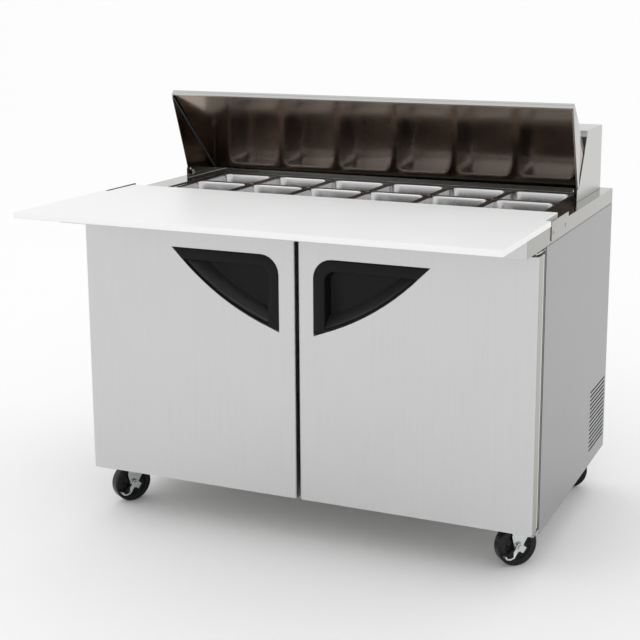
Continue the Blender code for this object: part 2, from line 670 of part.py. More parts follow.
def machine():
    """The condensing unit in the rear space, and the evaporator at the back of the compartment."""
    floor = BASE_Z + BASE_T + GAP
    can = cylinder("compressor", (-0.22, REAR_Y - 0.118, floor + 0.085), 0.078, 0.150, "Z", 24, BLACK)
    feet_low = (-0.315, REAR_Y - 0.210, floor)
    join(can, box("compressor_feet", feet_low, (-0.125, REAR_Y - 0.026, floor + 0.012)))
    coil_low = (0.30, REAR_Y - 0.222, floor)
    box("condenser_coil", coil_low, (0.345, REAR_Y - 0.022, floor + 0.200), COIL)

    hub = (0.235, REAR_Y - 0.122, floor + 0.105)
    motor = cylinder("condenser_fan_motor", (0.135, hub[1], hub[2]), 0.034, 0.080, "X", 20, BLACK)
    join(motor, box("motor_foot", (0.110, hub[1] - 0.020, floor), (0.160, hub[1] + 0.020, hub[2] - 0.010)))
    join(motor, cylinder("motor_shaft", (0.200, hub[1], hub[2]), 0.004, 0.070, "X", 12))
    fan_blade("condenser_fan_blade", hub, "X", 0.074)

    cold_y = BODY_REAR - WALL - LINER_T - 2 * GAP
    cold_z = 0.600
    cold_low = (-0.26, cold_y - 0.070, cold_z - 0.075)
    cold = box("evaporator_coil", cold_low, (0.26, cold_y, cold_z + 0.075), COIL)
    spot = (0.0, cold_y - 0.095, cold_z)
    join(cold, cylinder("cold_shaft", (0.0, cold_y - 0.082, cold_z), 0.004, 0.034, "Y", 12))
    fan_blade("evaporator_fan_blade", spot, "Y", 0.060)


def fan_blade(name, centre, axis, reach):
    """A hub with four blades, turning on a shaft along axis."""
    hub = cylinder(name, centre, 0.016, 0.012, axis, 16, BLACK)
    x, y, z = centre
    thin = 0.0022
    for index, (du, dv) in enumerate(((1, 0.22), (0.22, 1))):
        u, v = du * reach, dv * reach
        if axis == "X":
            low, high = (x - thin, y - u, z - v), (x + thin, y + u, z + v)
        else:
            low, high = (x - u, y - thin, z - v), (x + u, y + thin, z + v)
        join(hub, box("%s_paddle_%d" % (name, index), low, high))
    cut(hub, cylinder(name + "_bore", centre, 0.0046, 0.04, axis, 12))
    return hub


cabinet()
worktop()
pans()
hood()
lid()
door("left", -1)
door("right", 1)
for index, (corner, degrees) in enumerate(SWIVELS.items()):
    end, side = corner.split("_")
    x = CASTER_X if side == "right" else -CASTER_X
    y = FRONT_CASTER_Y if end == "front" else REAR_CASTER_Y
    caster(index + 1, x, y, math.radians(degrees), end == "front")
shelves()
machine()
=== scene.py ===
"""The looks of a two-door sandwich prep table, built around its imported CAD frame.

Metres, +Z up, +X to the right and -Y to the front. Places come from the frame's nodes and joints.
"""
import json
import math

import bmesh
import bpy
from mathutils import Matrix, Vector


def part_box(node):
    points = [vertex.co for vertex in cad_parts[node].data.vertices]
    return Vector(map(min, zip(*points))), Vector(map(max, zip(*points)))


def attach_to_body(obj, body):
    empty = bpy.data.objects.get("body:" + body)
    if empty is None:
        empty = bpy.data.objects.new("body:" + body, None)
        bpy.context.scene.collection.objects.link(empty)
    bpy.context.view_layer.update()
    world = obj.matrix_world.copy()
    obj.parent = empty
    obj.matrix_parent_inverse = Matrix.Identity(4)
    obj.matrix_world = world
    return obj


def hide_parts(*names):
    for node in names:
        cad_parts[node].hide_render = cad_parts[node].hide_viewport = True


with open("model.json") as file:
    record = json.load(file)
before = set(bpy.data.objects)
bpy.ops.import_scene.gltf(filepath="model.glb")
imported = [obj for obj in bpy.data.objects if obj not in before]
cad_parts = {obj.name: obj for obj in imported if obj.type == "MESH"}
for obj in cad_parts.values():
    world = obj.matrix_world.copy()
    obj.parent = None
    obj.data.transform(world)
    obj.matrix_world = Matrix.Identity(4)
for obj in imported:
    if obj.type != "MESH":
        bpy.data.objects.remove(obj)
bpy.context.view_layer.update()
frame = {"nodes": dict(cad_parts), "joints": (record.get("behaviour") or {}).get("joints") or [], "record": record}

NODES = frame["nodes"]
JOINTS = {joint["name"]: joint for joint in frame["joints"]}
BODY_OF = {}
for body, members in frame["record"]["behaviour"]["bodies"].items():
    for member in members:
        BODY_OF[member] = body

scene = bpy.context.scene
visual = bpy.data.collections.new("visual")
scene.collection.children.link(visual)


# ---------------------------------------------------------------- materials

def look(name, colour, rough, metal=0.0, level=0.5, grain=(60, 60, 60), tint=0.05, spread=0.04,
         bump=0.15, depth=0.0002, cloud=0.0, coat=0.0):
    """A Principled material whose colour, roughness and height vary with a stretched noise.

    grain is the noise's scale along X, Y and Z. cloud adds broad, soft patches to colour and roughness.
    """
    made = bpy.data.materials.new(name)
    made.use_nodes = True
    tree = made.node_tree
    shader = tree.nodes["Principled BSDF"]
    shader.inputs["Metallic"].default_value = metal
    shader.inputs["Specular IOR Level"].default_value = level
    shader.inputs["Coat Weight"].default_value = coat
    shader.inputs["Coat Roughness"].default_value = 0.12

    def node(kind, **values):
        new = tree.nodes.new(kind)
        for key, value in values.items():
            new.inputs[key.replace("_", " ")].default_value = value
        return new

    where = tree.nodes.new("ShaderNodeTexCoord")
    mapping = node("ShaderNodeMapping", Scale=grain)
    fine = node("ShaderNodeTexNoise", Scale=1.0, Detail=5.0, Roughness=0.62)
    tree.links.new(where.outputs["Object"], mapping.inputs["Vector"])
    tree.links.new(mapping.outputs["Vector"], fine.inputs["Vector"])
    broad = node("ShaderNodeTexNoise", Scale=5.0, Detail=3.0, Roughness=0.5)
    tree.links.new(where.outputs["Object"], broad.inputs["Vector"])
    blend = tree.nodes.new("ShaderNodeMath")
    blend.operation = "MULTIPLY_ADD"
    blend.inputs[1].default_value = cloud
    tree.links.new(broad.outputs["Fac"], blend.inputs[0])
    tree.links.new(fine.outputs["Fac"], blend.inputs[2])

    ramp = tree.nodes.new("ShaderNodeValToRGB")
    middle = 0.5 + cloud / 2
    ramp.color_ramp.elements[0].position = middle - 0.2
    ramp.color_ramp.elements[1].position = middle + 0.2
    for element, share in zip(ramp.color_ramp.elements, (1 - tint, 1 + tint)):
        element.color = (*(min(1.0, part * share) for part in colour), 1.0)
    tree.links.new(blend.outputs[0], ramp.inputs["Fac"])
    tree.links.new(ramp.outputs["Color"], shader.inputs["Base Color"])

    rougher = node("ShaderNodeMapRange")
    for key, value in (("From Min", middle - 0.25), ("From Max", middle + 0.25),
                       ("To Min", max(0.02, rough - spread)), ("To Max", rough + spread)):
        rougher.inputs[key].default_value = value
    tree.links.new(blend.outputs[0], rougher.inputs["Value"])
    tree.links.new(rougher.outputs["Result"], shader.inputs["Roughness"])

    height = node("ShaderNodeBump", Strength=bump, Distance=depth)
    tree.links.new(fine.outputs["Fac"], height.inputs["Height"])
    tree.links.new(height.outputs["Normal"], shader.inputs["Normal"])
    return made


STREAK, ACROSS = 6, 900  # the brushed grain's scale along and across its lines
UPRIGHT = (ACROSS, ACROSS, STREAK)
SIDEWAYS = (STREAK, ACROSS, ACROSS)

DOOR_STEEL = look("door_brushed_steel", (0.60, 0.60, 0.605), 0.36, 1.0, grain=UPRIGHT, tint=0.03, bump=0.05,
                  depth=0.00005, cloud=0.35)
# Painted shade: the door skins' edge faces are the doors' steel with a darker colour, for the shade on them.
DOOR_EDGE_PAINTED_SHADE = look("door_edge_painted_shade_steel", (0.40, 0.395, 0.37), 0.36, 1.0, grain=UPRIGHT, tint=0.03, bump=0.05,
                  depth=0.00005, cloud=0.3)
# Painted shade: the side and rear panels are the doors' steel with a darker colour, for the light falling on them
# less.
SIDE_STEEL_PAINTED_SHADE = look("side_brushed_steel_painted_shade", (0.325, 0.33, 0.327), 0.34, 1.0, grain=UPRIGHT, tint=0.03, bump=0.05,
                  depth=0.00005, cloud=0.4)
DECK_STEEL = look("deck_brushed_steel", (0.315, 0.31, 0.288), 0.17, 1.0, grain=SIDEWAYS, tint=0.035,
                  bump=0.05, depth=0.00005, cloud=0.3)
TRIM_STEEL = look("trim_brushed_steel", (0.52, 0.52, 0.505), 0.30, 1.0, grain=SIDEWAYS, tint=0.03, bump=0.05,
                  depth=0.00005, cloud=0.3)
# Partly real, partly painted: the lid liner is bright steel, and its brown colour is a painted reflection of the
# food in the pans.
LINER_STEEL_PAINTED_REFLECTION = look("lid_liner_steel_painted_reflection", (0.34, 0.28, 0.235), 0.15, 1.0, grain=SIDEWAYS, tint=0.04,
                   bump=0.04, depth=0.00004, cloud=0.5)
CAVITY_STEEL = look("cavity_steel", (0.62, 0.62, 0.62), 0.28, 1.0, grain=UPRIGHT, tint=0.04, bump=0.05,
                    depth=0.00005, cloud=0.4)
PAN_STEEL = look("pan_polished_steel", (0.60, 0.60, 0.605), 0.20, 1.0, grain=(220, 220, 220), tint=0.03,
                 bump=0.06, depth=0.00005, cloud=0.5)
FOAM = look("foam", (0.80, 0.74, 0.55), 0.85, grain=(700, 700, 700), tint=0.12, bump=0.6, depth=0.0004)
BOARD = look("board_polyethylene", (0.86, 0.86, 0.86), 0.42, level=0.35, grain=(900, 900, 900), tint=0.015,
             spread=0.06, bump=0.25, depth=0.00006, cloud=0.4)
INNER_PLASTIC = look("door_inner_plastic", (0.60, 0.60, 0.59), 0.35, grain=(350, 350, 350), tint=0.02,
                     bump=0.2, depth=0.0001, cloud=0.3)
HANDLE_BLACK = look("handle_moulded_black", (0.0050, 0.0053, 0.0060), 0.46, level=0.17,
                    grain=(1400, 1400, 1400), tint=0.25, spread=0.06, bump=0.3, depth=0.00008, cloud=0.3)
# Painted highlight: the handle's own black plastic, made lighter on the pocket's ramp where it catches the light;
# its lower roughness and stronger specular are real.
HANDLE_PAINTED_HIGHLIGHT = look("handle_black_painted_highlight", (0.024, 0.0245, 0.026), 0.34, level=0.6,
                    grain=(1400, 1400, 1400), tint=0.25, spread=0.05, bump=0.2, depth=0.00006, cloud=0.3)
GASKET = look("gasket_rubber", (0.014, 0.014, 0.015), 0.62, level=0.25, grain=(300, 300, 300), tint=0.2,
              bump=0.2, depth=0.0001)
TYRE = look("tyre_rubber", (0.004, 0.004, 0.004), 0.24, level=0.3, grain=(260, 260, 260), tint=0.25,
            spread=0.08, bump=0.2, depth=0.0001, cloud=0.6)
HUB = look("hub_plastic", (0.005, 0.005, 0.0055), 0.28, level=0.28, grain=(500, 500, 500), tint=0.2, bump=0.2)
ZINC = look("zinc_plate", (0.62, 0.665, 0.655), 0.24, 1.0, grain=(130, 130, 130), tint=0.09, spread=0.08,
            bump=0.1, depth=0.0001, cloud=0.6)
SCREW = look("screw_steel", (0.66, 0.66, 0.65), 0.22, 1.0, grain=(600, 600, 600), tint=0.06, bump=0.1)
PAINT = look("black_paint", (0.015, 0.015, 0.016), 0.34, level=0.4, grain=(420, 420, 420), tint=0.2,
             bump=0.25, depth=0.0002, coat=0.2)
FINS = look("coil_aluminium", (0.70, 0.71, 0.72), 0.38, 1.0, grain=(200, 200, 200), tint=0.08, bump=0.2)
COPPER = look("copper_pipe", (0.72, 0.36, 0.22), 0.30, 1.0, grain=(180, 180, 180), tint=0.12, spread=0.1,
              bump=0.1, cloud=0.5)
FAN = look("fan_plastic", (0.03, 0.03, 0.032), 0.45, level=0.4, grain=(500, 500, 500), tint=0.2, bump=0.2)
WIRE = look("white_wire_coating", (0.78, 0.78, 0.77), 0.38, grain=(400, 400, 400), tint=0.03, bump=0.3,
            depth=0.0001, coat=0.2)
# Painted shade: a near-black for the slats in the side louvres, the pan well and the lid core's ends and
# underside, where shade falls.
PAINTED_SHADE_BLACK = look("painted_shade_black", (0.05, 0.048, 0.046), 0.40, grain=(300, 300, 300), tint=0.1, bump=0.2)
GALVANISED = look("galvanised_sheet", (0.45, 0.46, 0.46), 0.42, 1.0, grain=(90, 90, 90), tint=0.12,
                  spread=0.1, bump=0.1, cloud=0.7)
# Painted shade: a darkened steel for the board stops' screw heads, for the shade in their recesses, and for the
# dark line above the lid's hem.
PAINTED_SHADE_STEEL = look("screw_painted_shade_dark", (0.16, 0.16, 0.155), 0.35, 1.0, grain=(600, 600, 600), tint=0.1,
                  bump=0.1)
# Painted highlight: a bluish colour for rods along the lid liner's corners.
CORNER_PAINTED_HIGHLIGHT = look("corner_painted_highlight", (0.10, 0.11, 0.13), 0.30, level=0.5, grain=(300, 300, 300), tint=0.1, bump=0.1)
NYLON = look("white_nylon", (0.75, 0.75, 0.74), 0.45, grain=(500, 500, 500), tint=0.03, bump=0.2)


# ---------------------------------------------------------------- mesh tools

def add(name, mesh, material, smooth=35):
    """Link a mesh as a new object, shaded smooth with sharp edges over an angle in degrees."""
    thing = bpy.data.objects.new(name, mesh)
    mesh.materials.clear()
    mesh.materials.append(material)
    visual.objects.link(thing)
    mesh.shade_smooth()
    mesh.set_sharp_from_angle(angle=math.radians(smooth))
    return thing


def finished(bm, name):
    mesh = bpy.data.meshes.new(name)
    bmesh.ops.recalc_face_normals(bm, faces=bm.faces)
    bm.to_mesh(mesh)
    bm.free()
    return mesh


def settle(thing):
    """Work a piece's modifiers into its mesh."""
    bpy.context.view_layer.update()
    solid = thing.evaluated_get(bpy.context.evaluated_depsgraph_get())
    mesh = bpy.data.meshes.new_from_object(solid)
    thing.modifiers.clear()
    thing.data = mesh
    return thing


def ease(thing, width, segments=2, angle=32):
    """Round a piece's edges."""
    bevel = thing.modifiers.new("eased_edges", "BEVEL")
    bevel.width = width
    bevel.segments = segments
    bevel.limit_method = "ANGLE"
    bevel.angle_limit = math.radians(angle)
    bevel.harden_normals = True
    return settle(thing)


def repaint(thing, material, chosen):
    """Give a piece's faces another material where chosen(centre, normal) is true."""
    thing.data.materials.append(material)
    index = len(thing.data.materials) - 1
    for face in thing.data.polygons:
        if chosen(face.center, face.normal):
            face.material_index = index
    return thing


def carry(node, material, width=0.0006, segments=2, angle=32):
    """A copy of a CAD node with eased edges, standing for that node."""
    bm = bmesh.new()
    bm.from_mesh(NODES[node].data)
    bmesh.ops.remove_doubles(bm, verts=bm.verts, dist=0.00001)
    bmesh.ops.dissolve_limit(bm, angle_limit=math.radians(0.4), verts=bm.verts, edges=bm.edges)
    thing = add(node + "_piece", finished(bm, node), material)
    ease(thing, width, segments, angle)
    stand_for(thing, node)
    return thing


def stand_for(thing, *nodes):
    """Let a piece ride with its CAD nodes' body and hide them."""
    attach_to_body(thing, BODY_OF[nodes[0]])
    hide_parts(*nodes)
    return thing


def attach(thing, body):
    """Let an added piece ride on a body."""
    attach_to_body(thing, body)
    return thing


def loft(name, loops, cyclic=False, caps=True):
    """Join rings of points that have the same count; the ends are filled."""
    bm = bmesh.new()
    rings = [[bm.verts.new(point) for point in loop] for loop in loops]
    if cyclic:
        rings.append(rings[0])
    for one, two in zip(rings, rings[1:]):
        for k in range(len(one)):
            nxt = (k + 1) % len(one)
            bm.faces.new((one[k], one[nxt], two[nxt], two[k]))
    if caps and not cyclic:
        bm.faces.new(rings[0])
        bm.faces.new(rings[-1])
    return finished(bm, name)


def block(bm, low, high):
    """Add a box to a mesh that is being made."""
    made = bmesh.ops.create_cube(bm, size=1.0)
    low, high = Vector(low), Vector(high)
    bmesh.ops.scale(bm, vec=high - low, verts=made["verts"])
    bmesh.ops.translate(bm, vec=(low + high) / 2, verts=made["verts"])
    return made["verts"]


def rod(bm, start, end, radius, sides=10):
    """Add a round bar between two points."""
    start, end = Vector(start), Vector(end)
    made = bmesh.ops.create_cone(bm, cap_ends=True, segments=sides, radius1=radius, radius2=radius,
                                 depth=(end - start).length)
    turn = Vector((0, 0, 1)).rotation_difference(end - start).to_matrix()
    bmesh.ops.rotate(bm, verts=made["verts"], matrix=turn)
    bmesh.ops.translate(bm, vec=(start + end) / 2, verts=made["verts"])
    return made["verts"]


def turned(name, profile, steps=48):
    """A closed ring of (radius, height) points spun about Z. A point on the axis has radius zero."""
    bm = bmesh.new()
    rings = []
    for radius, height in profile:
        if radius < 1e-6:
            rings.append([bm.verts.new((0, 0, height))])
        else:
            rings.append([bm.verts.new((radius * math.cos(2 * math.pi * k / steps),
                                        radius * math.sin(2 * math.pi * k / steps), height))
                          for k in range(steps)])
    closed = profile[0][0] > 1e-6 and profile[-1][0] > 1e-6
    pairs = list(zip(rings, rings[1:])) + ([(rings[-1], rings[0])] if closed else [])
    for one, two in pairs:
        for k in range(steps):
            nxt = (k + 1) % steps
            if len(one) == 1:
                bm.faces.new((one[0], two[nxt], two[k]))
            elif len(two) == 1:
                bm.faces.new((one[k], one[nxt], two[0]))
            else:
                bm.faces.new((one[k], one[nxt], two[nxt], two[k]))
    return finished(bm, name)


def facing(direction, at):
    """A matrix that turns +Z to a direction and moves the origin to a point."""
    turn = Vector((0, 0, 1)).rotation_difference(Vector(direction))
    return Matrix.Translation(at) @ turn.to_matrix().to_4x4()


def merge(name, meshes, material, smooth=35):
    """One object from (mesh, matrix) pairs."""
    bm = bmesh.new()
    for mesh, matrix in meshes:
        copy = mesh.copy()
        copy.transform(matrix)
        bm.from_mesh(copy)
        bpy.data.meshes.remove(copy)
    return add(name, finished(bm, name), material, smooth)


def hex_head(radius=0.0055, height=0.0035, washer=True):
    """A flanged hexagon head that stands on Z = 0."""
    bm = bmesh.new()
    made = bmesh.ops.create_cone(bm, cap_ends=True, segments=6, radius1=radius, radius2=radius, depth=height)
    bmesh.ops.translate(bm, vec=(0, 0, height / 2 + 0.0008), verts=made["verts"])
    if washer:
        made = bmesh.ops.create_cone(bm, cap_ends=True, segments=24, radius1=radius * 1.45,
                                     radius2=radius * 1.35, depth=0.0009)
        bmesh.ops.translate(bm, vec=(0, 0, 0.00045), verts=made["verts"])
    return finished(bm, "hex_head")


def pan_head(radius=0.0042, height=0.0022):
    """A domed screw head with a cross recess, standing on Z = 0."""
    profile = [(0.0, height * 0.45), (radius * 0.30, height * 0.45), (radius * 0.34, height)]
    for step in range(1, 7):
        angle = math.pi / 2 * (1 - step / 6)
        profile.append((radius * (0.34 + 0.66 * math.cos(angle)), height * (0.35 + 0.65 * math.sin(angle))))
    profile += [(radius, 0.0), (0.0, 0.0)]
    return turned("pan_head", profile, 20)


def rounded_rectangle(half_x, half_y, radius, z, middle=(0.0, 0.0), steps=7):
    """A ring of points, with rounded corners, in a level plane."""
    ring = []
    for quarter in range(4):
        sx = 1 if quarter in (0, 3) else -1
        sy = 1 if quarter in (0, 1) else -1
        for step in range(steps + 1):
            angle = math.pi / 2 * (quarter + step / steps)
            ring.append((middle[0] + sx * (half_x - radius) + radius * math.cos(angle),
                         middle[1] + sy * (half_y - radius) + radius * math.sin(angle), z))
    return ring


# ---------------------------------------------------------------- cabinet

def span(node):
    low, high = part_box(node)
    return low, high, (low + high) / 2


DECK_LOW, DECK_HIGH, _ = span("worktop")
SIDE_LOW, SIDE_HIGH, _ = span("side_panel_right")
HALF_W = SIDE_HIGH.x
REAR_Y = SIDE_HIGH.y
DECK_Z = DECK_HIGH.z


LOUVRES, LOUVRE_PITCH, LOUVRE_HIGH = 15, 0.0119, 0.005  # the slots cut in each side panel
LOUVRE_FIRST = 0.152
LOUVRE_FRONT, LOUVRE_REAR = REAR_Y - 0.186, REAR_Y - 0.014


def louvre_slats(side, sign):
    """Slats pressed inwards behind the side panel's slots, coloured near-black as painted shade in the slots."""
    high, outer = LOUVRE_HIGH, HALF_W - 0.0026
    bm = bmesh.new()
    for step in range(LOUVRES):
        z = LOUVRE_FIRST + LOUVRE_PITCH * step
        loops = []
        for y in (LOUVRE_FRONT - 0.001, LOUVRE_REAR + 0.001):
            ring = [(outer, z + high + 0.0012), (outer - 0.0056, z - 0.0008), (outer - 0.0064, z - 0.0004),
                    (outer - 0.0010, z + high + 0.0016)]
            loops.append([(sign * x, y, h) for x, h in ring])
        one, two = ([bm.verts.new(point) for point in loop] for loop in loops)
        for k in range(4):
            nxt = (k + 1) % 4
            bm.faces.new((one[k], one[nxt], two[nxt], two[k]))
        bm.faces.new(one)
        bm.faces.new(two)
    slats = add("louvre_slats_" + side, finished(bm, "louvre_slats"), PAINTED_SHADE_BLACK)
    attach(slats, "cabinet")


def cabinet():
    for side, sign in (("left", -1), ("right", 1)):
        carry("side_panel_" + side, SIDE_STEEL_PAINTED_SHADE, 0.0004)
        louvre_slats(side, sign)
    carry("rear_panel", SIDE_STEEL_PAINTED_SHADE, 0.0004)
    carry("base_plate", TRIM_STEEL, 0.0005)
    carry("face_frame", CAVITY_STEEL, 0.0006)
    body = carry("insulated_body", FOAM, 0.0010)
    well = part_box("pan_grid")

    def in_well(centre, _normal):
        inside = abs(centre.x) < well[1].x + 0.001 and well[0].y - 0.001 < centre.y < well[1].y + 0.001
        return inside and centre.z > well[0].z - 0.09
    machine_top, machine_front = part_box("condenser_coil")[1].z + 0.05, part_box("condenser_coil")[0].y - 0.03
    # Painted shade: the insulated body's faces in the pan well are coloured near-black for the shade under the
    # pans.
    repaint(body, PAINTED_SHADE_BLACK, in_well)
    repaint(body, GALVANISED, lambda centre, normal: centre.y > machine_front and centre.z < machine_top)
    carry("inner_liner", CAVITY_STEEL, 0.0004)
    deck = carry("worktop", DECK_STEEL, 0.0006)
    # Painted light: the worktop's front faces take the lighter door steel, for the floor reflected in them.
    repaint(deck, DOOR_STEEL, lambda centre, normal: normal.y < -0.7 and centre.y < DECK_LOW.y + 0.003)
    for side in ("left", "right"):
        carry("board_stop_" + side, DECK_STEEL, 0.0006)
    carry("rear_hood", TRIM_STEEL, 0.0005)
    carry("pan_grid", PAN_STEEL, 0.0010)
    carry("cutting_board", BOARD, 0.0022, 4)


def screws():
    """Fasteners on the board stops, rear panel and hood."""
    head, hexagon = pan_head(0.0050, 0.0022), hex_head()
    flush = turned("flush_head", [(0.0, -0.0010), (0.0014, -0.0010), (0.0016, 0.0001), (0.0048, 0.0001),
                                  (0.0048, -0.0020), (0.0, -0.0020)], 24)
    stops, rear, top = [], [], []
    for sign in (-1, 1):
        face = sign * (span("board_stop_right")[1].x)
        for y in (-0.125, -0.011):
            stops.append((flush, facing((sign, 0, 0), (face, y, DECK_Z - 0.015))))
        for z in (SIDE_LOW.z + 0.020, 0.36, 0.58, SIDE_HIGH.z - 0.020):
            rear.append((hexagon, facing((0, 1, 0), (sign * (HALF_W - 0.022), REAR_Y, z))))
        for y in (REAR_Y - 0.20, 0.10, -0.10):
            top.append((hexagon, facing((0, 0, -1), (sign * (HALF_W - 0.05), y, span("base_plate")[0].z))))
    for x in (-0.3, 0.0, 0.3):
        rear.append((hexagon, facing((0, 1, 0), (x, REAR_Y, SIDE_HIGH.z - 0.020))))
    low, high, _ = span("rear_hood")
    hood = [(head, facing((0, 1, 0), (x, high.y, low.z + 0.018))) for x in (-0.5, -0.25, 0.0, 0.25, 0.5)]
    # Painted shade: the board stops' screw heads are darkened for the shade in their recesses.
    attach(merge("board_stop_screws", stops, PAINTED_SHADE_STEEL), "cabinet")
    inward = Matrix.Translation((0, -0.0044, 0))
    rear = [(mesh, inward @ matrix) for mesh, matrix in rear]
    attach(merge("rear_panel_bolts", rear, ZINC), "cabinet")
    attach(merge("hood_screws", hood, SCREW), "cabinet")
    bush = turned("cord_bush", [(0.0, -0.0060), (0.0060, -0.0060), (0.0066, -0.0010), (0.0085, 0.0001),
                                (0.0120, 0.0001), (0.0125, -0.0020), (0.0125, -0.0080), (0.0, -0.0080)], 40)
    spot = facing((0, 1, 0), (-HALF_W + 0.060, REAR_Y, 0.400))
    attach(merge("rear_cord_bush", [(bush, spot)], GASKET), "cabinet")


# ---------------------------------------------------------------- pans

def pan_mesh(node):
    """A stamped pan about its own middle: rounded corners, rolled rim and a domed fillet to its floor."""
    low, high, _ = span(node)
    half_x, half_y = (high.x - low.x) / 2, (high.y - low.y) / 2
    top, bottom = high.z, low.z
    wall_x, wall_y = half_x - 0.0078, half_y - 0.0078
    taper, sheet = 0.009, 0.0012
    depth = top - bottom

    def wall(inset, share, radius):
        """A ring on the wall, a share of the way down."""
        return rounded_rectangle(wall_x - inset - taper * share, wall_y - inset - taper * share,
                                 radius, top - depth * share)
    fillet = 0.012
    rings = []
    for step in range(6):  # the floor's fillet, from its middle outwards
        angle = math.pi / 2 * step / 5
        inset = taper + sheet + fillet * (1 - math.sin(angle))
        z = bottom + 0.0014 + fillet * (1 - math.cos(angle))
        corner = 0.020 - 0.006 * (1 - math.sin(angle))
        rings.append(rounded_rectangle(wall_x - inset, wall_y - inset, corner, z))
    rings.append(wall(sheet, 0.45, 0.021))
    rings.append(wall(sheet, 0.07, 0.022))
    for step in range(4):  # over the shoulder onto the rim
        angle = math.pi / 2 * step / 3
        out = 0.003 * (1 - math.cos(angle))
        rings.append(rounded_rectangle(wall_x - sheet + out, wall_y - sheet + out, 0.022 + out,
                                       top - 0.003 * (1 - math.sin(angle))))
    for step in range(5):  # the rolled edge
        angle = math.pi / 2 * step / 4
        out = 0.0014 * math.sin(angle)
        rings.append(rounded_rectangle(half_x - 0.0014 + out, half_y - 0.0014 + out, 0.009,
                                       top - 0.0014 * (1 - math.cos(angle))))
    rings.append(rounded_rectangle(half_x - 0.0005, half_y - 0.0005, 0.009, top - 0.0016))
    rings.append(rounded_rectangle(wall_x + 0.0012, wall_y + 0.0012, 0.0235, top - 0.0014))
    rings.append(wall(-0.0001, 0.07, 0.0232))
    rings.append(wall(-0.0001, 0.45, 0.0222))
    for step in range(6):
        angle = math.pi / 2 * (1 - step / 5)
        inset = taper + (fillet + sheet) * (1 - math.sin(angle))
        z = bottom + (fillet + 0.0014) * (1 - math.cos(angle))
        corner = 0.0212 - 0.006 * (1 - math.sin(angle))
        rings.append(rounded_rectangle(wall_x - inset, wall_y - inset, corner, z))
    return loft("pan", rings)


def pans():
    mesh = pan_mesh("pan_front_1")
    for row in ("front", "rear"):
        for column in range(1, 7):
            node = "pan_%s_%d" % (row, column)
            centre = span(node)[2]
            copy = mesh.copy()
            copy.transform(Matrix.Translation((centre.x, centre.y, 0)))
            stand_for(add(node + "_shell", copy, PAN_STEEL, 50), node)


# ---------------------------------------------------------------- lid

PIVOT = Vector(JOINTS["lid_hinge"]["pos_m"])


def lid():
    carry("lid_skin", TRIM_STEEL, 0.0005)
    carry("lid_liner", LINER_STEEL_PAINTED_REFLECTION, 0.0003)
    core = carry("lid_core", FOAM, 0.0008)
    # Painted shade: the lid core's end faces and the faces turned down and forwards are coloured near-black for
    # the shade in the slit beside the hood.
    repaint(core, PAINTED_SHADE_BLACK, lambda centre, normal: abs(normal.x) > 0.9 or normal.z < -0.5 and normal.y < 0.0)
    low, high, _ = span("lid_liner")
    # Painted highlight: bluish rods along the liner's corners stand for the light caught where the cheeks meet the
    # panel.
    highlight_rods = bmesh.new()
    for sign in (-1, 1):
        x = sign * (high.x - 0.0030)
        rod(highlight_rods, (x, low.y + 0.0030, high.z - 0.0066), (x, high.y - 0.0090, low.z + 0.0072), 0.0018, 8)
    attach(add("lid_corner_painted_highlights", finished(highlight_rods, "corner_highlight_rods"), CORNER_PAINTED_HIGHLIGHT), "lid")
    skin_low, skin_high, _ = span("lid_skin")
    lip = 0.0115  # the front lip's rise and depth in the open pose
    bottom, rise = Vector((0, skin_low.y, skin_high.z - lip)), Vector((0, lip, lip))
    out = Vector((0, -1, 1)).normalized()
    half = skin_high.x
    # Painted shade: the second, thin dark strip stands for the shadow line of the groove above the hem.
    for name, start, end, proud, material in (("hem", 0.0, 0.56, 0.0005, TRIM_STEEL),
                                              ("hem_painted_shadow_line", 0.56, 0.62, 0.0001, PAINTED_SHADE_STEEL)):
        loops = []
        for x in (-half + 0.0012, half - 0.0012):
            low_edge, high_edge = bottom + rise * start, bottom + rise * end
            ring = (low_edge - out * 0.0004, low_edge + out * proud, high_edge + out * proud,
                    high_edge - out * 0.0004)
            loops.append([(x, point.y, point.z) for point in ring])
        attach(ease(add("lid_" + name, loft("hem", loops), material), 0.0002), "lid")
    cheek = high.x
    discs, bolts, washers = [], [], []
    disc = turned("pivot_disc", [(0.0, 0.0), (0.0125, 0.0), (0.0132, 0.0012), (0.0132, 0.0048),
                                 (0.0118, 0.0062), (0.0070, 0.0066), (0.0, 0.0066)], 40)
    head = pan_head(0.0046, 0.0030)
    tab = turned("washer", [(0.0, 0.0), (0.0080, 0.0), (0.0080, 0.0020), (0.0, 0.0020)], 24)
    for sign in (-1, 1):
        inside = Vector((sign * (cheek - 0.0013), PIVOT.y, PIVOT.z))
        discs.append((disc, facing((-sign, 0, 0), inside)))
        for dy, dz in ((-0.0062, 0.0030), (0.0050, -0.0048)):
            spot = inside + Vector((-sign * 0.0066, dy, dz))
            bolts.append((head, facing((-sign, 0, 0), spot)))
        washers.append((tab, facing((-sign, 0, 0), inside + Vector((-sign * 0.0005, 0.0150, -0.0085)))))
    attach(merge("lid_pivot_blocks", discs, HANDLE_BLACK), "lid")
    attach(merge("lid_pivot_screws", bolts, SCREW), "lid")
    attach(merge("lid_pivot_washers", washers, NYLON), "lid")


# ---------------------------------------------------------------- doors

